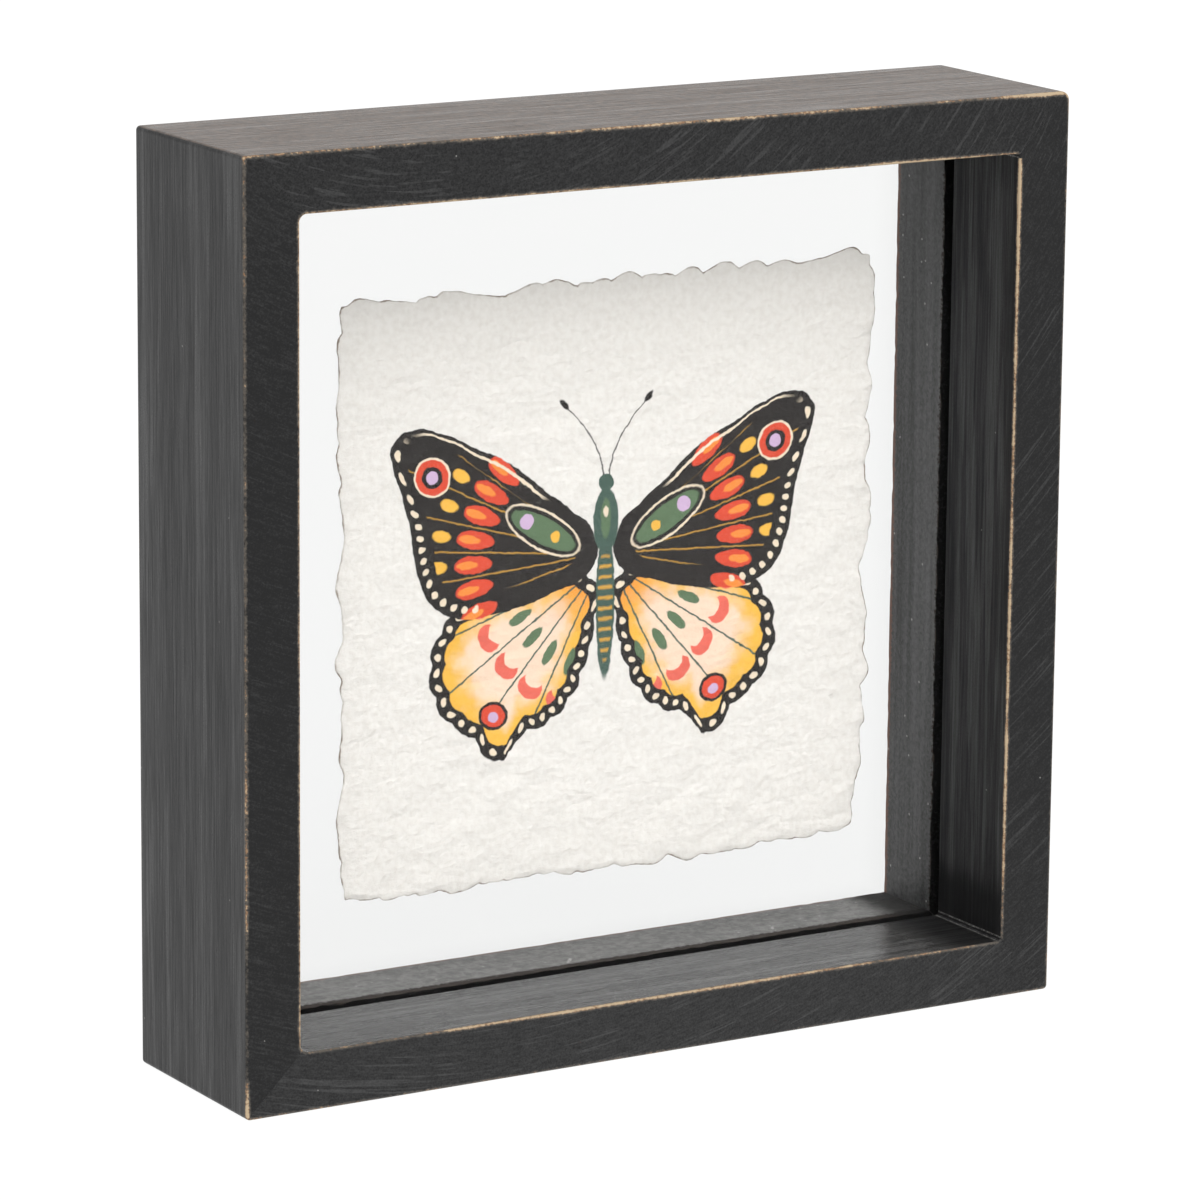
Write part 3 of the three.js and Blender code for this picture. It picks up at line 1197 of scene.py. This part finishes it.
def fit_outline(flat):
    """Moves points of the square grid (x, z from the middle) onto the torn outline."""
    half = np.array((SHEET_HALF.x, SHEET_HALF.z))
    share = np.max(np.abs(flat) / half, axis=1)
    angles = np.arctan2(flat[:, 1], flat[:, 0])
    square = np.minimum(
        half[0] / np.maximum(np.abs(np.cos(angles)), 1e-9),
        half[1] / np.maximum(np.abs(np.sin(angles)), 1e-9),
    )
    model_reach = torn_outline(angles)
    reach = square + MODEL_WAVE_SHARE * (model_reach - square)
    for direction, width, lean in CORNER_LEANS:
        away = (np.degrees(angles) - direction + 180) % 360 - 180
        reach = reach + lean * MM * np.exp(-((away / width) ** 2))
    for index, angle in enumerate(angles):
        if share[index] > 1 - EDGE_SHARE:
            spot = Vector((math.cos(angle), math.sin(angle), 0)) * square[index]
            bites = abs(noise.noise(spot / TEAR_WAVE + Vector((0, 0, 3))))
            wide = noise.noise(spot / WIDE_TEAR_WAVE)
            reach[index] += WIDE_TEAR * wide - TEAR * (0.4 - 2 * bites)
            reach[index] += FINE_TEAR * noise.fractal(spot / FINE_TEAR_WAVE, 0.5, 2.0, 2)
    ease = np.clip((share - 1 + EDGE_SHARE) / EDGE_SHARE, 0, 1)
    ease = ease * ease * (3 - 2 * ease)
    moved = flat * (1 + (reach / square - 1) * ease)[:, None]
    to_edge = reach - np.hypot(moved[:, 0], moved[:, 1])
    return moved, np.maximum(to_edge, 0)


def pulp_height(place):
    """Lumps of pulp, a few millimetres across, between about -1 and 1."""
    lumps = noise.fractal(place / LUMP_WAVE, 0.9, 2.0, 2)
    wrinkles = 1 - 2.2 * abs(noise.noise(place / WRINKLE_WAVE + Vector((9, 3, 1))))
    return 0.75 * lumps + 0.35 * wrinkles


def shape_sheet(sheet):
    total = len(sheet.data.vertices)
    places = np.empty(total * 3)
    sheet.data.vertices.foreach_get("co", places)
    places = places.reshape(-1, 3)
    is_back = places[:, 1] > SHEET_MIDDLE.y
    flat = places[:, (0, 2)] - np.array(SHEET_MIDDLE)[[0, 2]]
    moved, to_edge = fit_outline(flat)
    places[:, 0] = SHEET_MIDDLE.x + moved[:, 0]
    places[:, 2] = SHEET_MIDDLE.z + moved[:, 1]
    lumps = np.array([pulp_height(Vector((x, 0, z))) for x, _, z in places])
    feather = np.clip(to_edge / FEATHER_WIDTH, 0, 1) ** 0.5
    curl = np.array([noise.noise(Vector((x, 5, z)) / CURL_WAVE) for x, _, z in places])
    core = SHEET_MIDDLE.y + CURL * curl
    front = core - feather * (FRONT_SWELL + PULP_RELIEF * lumps) - THINNEST_HALF
    back = core + feather * (BACK_SWELL + 0.4 * PULP_RELIEF * lumps) + THINNEST_HALF
    depth = np.where(is_back, back, front)
    places[:, 1] = np.clip(depth, SHEET_FRONT, SHEET_BACK)
    sheet.data.vertices.foreach_set("co", places.ravel())
    layer = sheet.data.attributes.new("edge_distance", "FLOAT", "POINT")
    layer.data.foreach_set("value", to_edge / MM)
    sheet.data.update()


sheet = model_sheet()
shape_sheet(sheet)
print(count(sheet))

# %% [markdown]
# The butterfly is printed, so it is only colour in the paper's material, and only on the
# sheet's front. Half of it is drawn, as simple painted forms, and mirrored at the body. Each
# wing has an outline of a few points about its middle. A curve turns them into the reach
# of the wing in each direction, and the share of the way to the edge then places every
# border, row of dots and patch, so they all follow the outline.

# %% Tools for the print
LONGEST_REACH = 40
INK_BLEED = 0.14
WING_ROOT_X = 1.5


def polar(w, across, up, middle):
    """Distance from a middle in mm, and direction in radians."""
    dx = w.less(across, middle[0])
    dz = w.less(up, middle[1])
    return w.hypotenuse(dx, dz), w.math("ARCTAN2", dz, dx)


def outline_place(w, across, up, middle, outline):
    """The share of the way to the outline, the direction, and the outline's reach there."""
    radius, turn = polar(w, across, up, middle)
    marks = sorted(
        (math.atan2(z - middle[1], x - middle[0]), math.hypot(x - middle[0], z - middle[1]))
        for x, z in outline
    )
    seam = float(np.interp(math.pi, *zip(*marks), period=2 * math.pi))
    marks = [(-math.pi, seam), *marks, (math.pi, seam)]
    scaled = [(angle, reach / LONGEST_REACH) for angle, reach in marks]
    reach = w.times(w.curve(turn, -math.pi, math.pi, scaled), LONGEST_REACH)
    return w.over(radius, reach), turn, reach


def inked(w, distance):
    """1 where a distance in mm is below nought, with a soft edge as ink has on paper."""
    return w.ramp(distance, -INK_BLEED, INK_BLEED, 1.0, 0.0)


def stamp(w, tone, distance, ink):
    """Prints an ink on the tone wherever the distance is below nought."""
    return w.blend(inked(w, distance), tone, ink)


def spot(w, where, centre, radii, turn=0):
    """The distance in mm, roughly, from the rim of a turned ellipse; below nought inside."""
    turned = (0, -math.radians(turn), 0)
    inside = w.local(where, (centre[0], 0, centre[1]), turned, (radii[0], 1, radii[1]))
    share = w.node("ShaderNodeVectorMath", operation="LENGTH")
    w.feed(share.inputs[0], inside)
    return w.times(w.less(share.outputs["Value"], 1.0), min(radii))


def stamp_spots(w, tone, where, spots):
    """Prints ellipses, each given by its centre, radii, turn in degrees and ink."""
    for centre, radii, turn, ink in spots:
        tone = stamp(w, tone, spot(w, where, centre, radii, turn), ink)
    return tone


def in_cells(w, turn, step, shift=0.0):
    """Parts a fan into equal cells. Gives -0.5 to 0.5 across each cell."""
    return w.less(w.math("FRACT", w.add(w.over(turn, step), shift)), 0.5)


def vein_fan(w, across, up, root_height, step, shift):
    """A fan from the wing's root: radius, place in its cells, and distance to a vein."""
    radius, turn = polar(w, across, up, (WING_ROOT_X, root_height))
    cell = in_cells(w, turn, step, shift)
    return radius, cell, w.times(w.less(0.5, w.size(cell)), w.times(radius, step))


def cell_spot(w, cell, width, along, middle, half_length, size):
    """One spot in each cell of a fan, as a rough distance in mm from its rim."""
    aside = w.over(cell, width)
    ahead = w.over(w.less(along, middle), half_length)
    share = w.hypotenuse(aside, ahead)
    return w.times(w.less(share, 1.0), size)


# %% Colours of the inks
INK_BLACK = colour(31, 27, 25)
INK_CREAM = colour(232, 216, 192)
INK_RED = colour(214, 74, 48)
INK_ORANGE = colour(236, 140, 60)
INK_GOLD = colour(236, 182, 72)
INK_OCHRE = colour(206, 158, 66)
INK_LILAC = colour(204, 176, 208)
INK_GREEN = colour(92, 116, 86)
INK_DARK_GREEN = colour(66, 90, 80)
INK_PEACH = colour(240, 212, 188)
INK_CORAL = colour(226, 104, 88)

PRINT_MIDDLE_X = 0.6

FOREWING_MIDDLE = (28, 13)
FOREWING = (
    (2.5, 2.5), (2.8, 8), (9, 14.5), (18, 21.5), (28, 28), (39, 33.2), (47, 35), (51.5, 33),
    (52, 28), (49.5, 20), (47.5, 12), (46, 4), (42.5, -3), (36, -6.5), (26, -6.3), (14, -3.6),
    (5, -0.5),
)
HINDWING_MIDDLE = (22, -16)
HINDWING = (
    (2, -3), (9, 1), (22, 0), (33, -3), (40, -8.5), (42.8, -15.5), (42, -22.5), (38.5, -28.5),
    (33, -32.5), (28.5, -37.5), (25.8, -38.8), (23.6, -36.6), (19.5, -33), (13.5, -31),
    (8.5, -26.5), (5, -19.5), (3, -11),
)
print("outline points:", len(FOREWING), "and", len(HINDWING))

# %% [markdown]
# The hindwing is pale, from peach at the body to gold at the rim. Veins fan out from its
# root, and each cell between two veins holds a drop and a crescent. The crescent is a spot
# with a second spot bitten out of it. The rim is black, scalloped and beaded.

# %% Draw the hindwing
HINDWING_ROOT_HEIGHT = 1.5
HINDWING_VEIN_STEP = 0.262
HINDWING_BEAD_STEP = math.pi / 18
HINDWING_BORDER = 3.4
HINDWING_EYE = (
    ((27.5, -28.5), (3.6, 3.1), 20, INK_BLACK),
    ((27.5, -28.5), (2.9, 2.4), 20, INK_RED),
    ((27.5, -28.8), (1.3, 1.1), 20, INK_LILAC),
)


def draw_hindwing(w, ground, across, up, where):
    share, turn, reach = outline_place(w, across, up, HINDWING_MIDDLE, HINDWING)
    scallop = w.times(w.size(w.math("SINE", w.times(turn, 9.0))), 0.9)
    from_rim = w.less(w.times(w.less(share, 1.0), reach), w.less(scallop, 0.4))
    radius, cell, from_vein = vein_fan(
        w, across, up, HINDWING_ROOT_HEIGHT, HINDWING_VEIN_STEP, 0.2
    )
    blush = w.add(share, w.times(w.sway(where, 0.22), 0.5))
    tone = w.blend(w.ramp(blush, 0.45, 0.8), INK_PEACH, INK_GOLD)
    tone = w.blend(w.ramp(radius, 4.0, 17.0, 0.75, 0.0), tone, INK_ORANGE)
    crescent = cell_spot(w, cell, 0.4, radius, 30.0, 2.6, 2.4)
    bite = cell_spot(w, cell, 0.34, radius, 27.6, 2.3, 2.2)
    tone = stamp(w, tone, w.largest(crescent, w.times(bite, -1.0)), INK_CORAL)
    drop = cell_spot(w, cell, 0.2, radius, 21.5, 3.0, 1.4)
    tone = stamp(w, tone, drop, INK_GREEN)
    tone = stamp(w, tone, w.less(from_vein, 0.2), INK_DARK_GREEN)
    tone = stamp(w, tone, w.less(-HINDWING_BORDER, from_rim), INK_BLACK)
    bead = in_cells(w, turn, HINDWING_BEAD_STEP)
    tone = stamp(w, tone, cell_spot(w, bead, 0.26, from_rim, -1.75, 0.75, 0.75), INK_CREAM)
    tone = stamp_spots(w, tone, where, HINDWING_EYE)
    return stamp(w, ground, from_rim, tone)


# %% [markdown]
# The forewing is black, and its cells hold a red oval with an orange core and a golden
# dash beyond it. A green bar lies near the root and a ringed eye at the tip. Beads follow
# the outer side only, and a fine pale line follows the upper one.

# %% Draw the forewing
FOREWING_ROOT_HEIGHT = 4.0
FOREWING_VEIN_STEP = 0.17
FOREWING_BEAD_STEP = math.pi / 22
FOREWING_SPOTS = (
    ((15.5, 10.5), (10.4, 4.2), 30, INK_CREAM),
    ((15.5, 10.5), (9.9, 3.7), 30, INK_BLACK),
    ((15.5, 10.5), (8.9, 2.8), 30, INK_GREEN),
    ((19.5, 12.8), (1.7, 1.7), 0, INK_LILAC),
    ((12.5, 8.8), (1.2, 1.2), 0, INK_GOLD),
    ((42.5, 24.5), (4.6, 4.2), 35, INK_CREAM),
    ((42.5, 24.5), (4.1, 3.7), 35, INK_RED),
    ((42.5, 24.5), (2.6, 2.3), 35, INK_BLACK),
    ((42.5, 24.5), (1.5, 1.4), 35, INK_LILAC),
)


def draw_forewing(w, ground, across, up, where):
    share, turn, reach = outline_place(w, across, up, FOREWING_MIDDLE, FOREWING)
    from_rim = w.times(w.less(share, 1.0), reach)
    radius, cell, from_vein = vein_fan(
        w, across, up, FOREWING_ROOT_HEIGHT, FOREWING_VEIN_STEP, 0.35
    )
    vein = inked(w, w.largest(w.less(from_vein, 0.16), w.add(from_rim, 5.0)))
    tone = w.blend(w.times(vein, 0.75), INK_BLACK, INK_OCHRE)
    tone = stamp(w, tone, cell_spot(w, cell, 0.37, radius, 31.0, 4.6, 2.4), INK_RED)
    tone = stamp(w, tone, cell_spot(w, cell, 0.16, radius, 32.5, 2.6, 1.2), INK_ORANGE)
    dash = cell_spot(w, cell, 0.2, radius, 39.5, 2.2, 1.0)
    tone = stamp(w, tone, w.largest(dash, w.add(from_rim, 4.6)), INK_GOLD)
    tone = stamp_spots(w, tone, where, FOREWING_SPOTS)
    outer_side = w.times(w.ramp(turn, -1.45, -1.35), w.ramp(turn, 0.7, 0.8, 1.0, 0.0))
    bead = in_cells(w, turn, FOREWING_BEAD_STEP)
    beads = inked(w, cell_spot(w, bead, 0.27, from_rim, -2.1, 0.85, 0.8))
    tone = w.blend(w.times(beads, outer_side), tone, INK_CREAM)
    upper_side = w.times(w.ramp(turn, 0.8, 0.95), w.ramp(turn, 2.7, 2.9, 1.0, 0.0))
    hairline = inked(w, w.less(w.size(w.add(from_rim, 1.5)), 0.35))
    tone = w.blend(w.times(hairline, upper_side), tone, INK_CREAM)
    return stamp(w, ground, from_rim, tone)


# %% [markdown]
# The body is three ellipses, for the abdomen, the thorax and the head. Ochre rings cross
# the abdomen, and each feeler is a thin bow with a knob at its end.

# %% Draw the body and the antennae
ABDOMEN = ((0, -6.5), (2.3, 17.0))
THORAX = ((0, 11.0), (3.1, 7.2))
HEAD = ((0, 19.4), (1.9, 1.9))
FEELER_ROOT = 20.0
FEELER_KNOB = (((10.4, 37.1), (0.6, 1.5), -42, INK_BLACK),)
RING_STEP = 2.3
THORAX_SPOTS = (
    ((0, 11.5), (1.2, 4.4), 0, INK_GREEN),
    ((0, 13.0), (0.6, 1.2), 0, INK_CREAM),
)


def draw_body(w, ground, across, up, where):
    lift = w.less(up, FEELER_ROOT)
    bow = w.add(0.7, w.times(w.times(lift, lift), 0.034))
    feeler = w.times(
        inked(w, w.less(w.size(w.less(across, bow)), 0.2)),
        w.times(w.ramp(up, 19.5, FEELER_ROOT), w.ramp(up, 36.4, 36.8, 1.0, 0.0)),
    )
    ground = w.blend(w.times(feeler, 0.85), ground, INK_BLACK)
    ground = stamp_spots(w, ground, where, FEELER_KNOB)
    abdomen, thorax, head = [spot(w, where, *form) for form in (ABDOMEN, THORAX, HEAD)]
    outline = w.smallest(w.smallest(abdomen, thorax), head)
    in_ring = w.less(w.math("FRACT", w.over(up, RING_STEP)), 0.5)
    rings = w.times(inked(w, w.less(w.size(in_ring), 0.16)), w.ramp(up, 3.0, 4.0, 1.0, 0.0))
    tone = w.blend(w.times(rings, inked(w, w.add(abdomen, 0.5))), INK_DARK_GREEN, INK_OCHRE)
    tone = stamp_spots(w, tone, where, THORAX_SPOTS)
    return stamp(w, ground, outline, tone)


# %% [markdown]
# The paper is cotton pulp: nearly white, quite matt, with soft lumps from the mesh and
# finer fibres from a bump. The torn edge is thin there and shows as a grey-brown line, which
# stands partly for the edge itself and partly for the thin shadow it casts, painted in. The
# distance to the edge, stored with the mesh, puts the line in its place.

# %% Material: printed rag paper
PAPER_WHITE = colour(230, 227, 222)
PAPER_GREY = colour(222, 218, 212)
PAPER_EDGE = colour(122, 106, 92)
PAPER_DULL = 0.92
PAPER_SHEEN = 0.3
HAND_WOBBLE = 0.7


def printed_paper(name):
    material, w, shader, place = new_material(name)
    x, y, z = w.split(place)
    wobble_x = w.times(w.sway(place, 0.9), HAND_WOBBLE)
    wobble_z = w.times(w.sway(w.stretch(place, (1, 1, 1), (31, 0, 7)), 0.9), HAND_WOBBLE)
    across = w.size(w.add(w.less(x, PRINT_MIDDLE_X), wobble_x))
    up = w.add(z, wobble_z)
    where = w.join(across, 0.0, up)
    pulp = w.cloud(place, 0.7, 3.0, 0.6)
    bare = w.blend(w.ramp(pulp, 0.35, 0.7), PAPER_WHITE, PAPER_GREY)
    tone = bare
    for draw in (draw_hindwing, draw_forewing, draw_body):
        tone = draw(w, tone, across, up, where)
    missed = w.times(w.ramp(w.cloud(place, 2.6, 3.0, 0.8), 0.54, 0.8), 0.3)
    tone = w.blend(missed, tone, bare)
    printed_side = w.math("LESS_THAN", y, SHEET_MIDDLE.y / MM)
    tone = w.blend(printed_side, bare, tone)
    to_edge = w.node("ShaderNodeAttribute", attribute_name="edge_distance").outputs["Fac"]
    # Painted shadow along the torn edge, partly the thin edge's own grey-brown, broken into
    # patches.
    edge_line = w.ramp(w.add(to_edge, w.sway(place, 0.6, 3.0, 0.7)), 0.1, 0.45, 1.0, 0.0)
    edge_line_patches = w.cloud(w.stretch(place, (1, 1, 1), (5, 0, 3)), 0.2, 2.0, 0.6)
    edge_line_strength = w.ramp(edge_line_patches, 0.4, 0.6, 0.25, 0.9)
    w.feed(shader.inputs["Base Color"], w.blend(w.times(edge_line, edge_line_strength), tone, PAPER_EDGE))
    shader.inputs["Roughness"].default_value = PAPER_DULL
    shader.inputs["Specular IOR Level"].default_value = PAPER_SHEEN
    fibres = w.cloud(w.stretch(place, (1.0, 1.0, 1.6)), 1.6, 3.0, 0.65, 0.3)
    creases = w.cloud(w.stretch(place, (1.0, 1.0, 1.5)), 0.15, 2.0, 0.55, 0.2)
    height = w.add(w.times(fibres, 0.14), w.times(pulp, 0.2))
    height = w.add(height, w.times(creases, 1.1))
    w.feed(shader.inputs["Normal"], w.bump(height))
    return material


rag_paper = printed_paper("printed rag paper")
print("paper material has", len(rag_paper.node_tree.nodes), "nodes")
finish_piece(sheet, "paper_sheet", rag_paper)
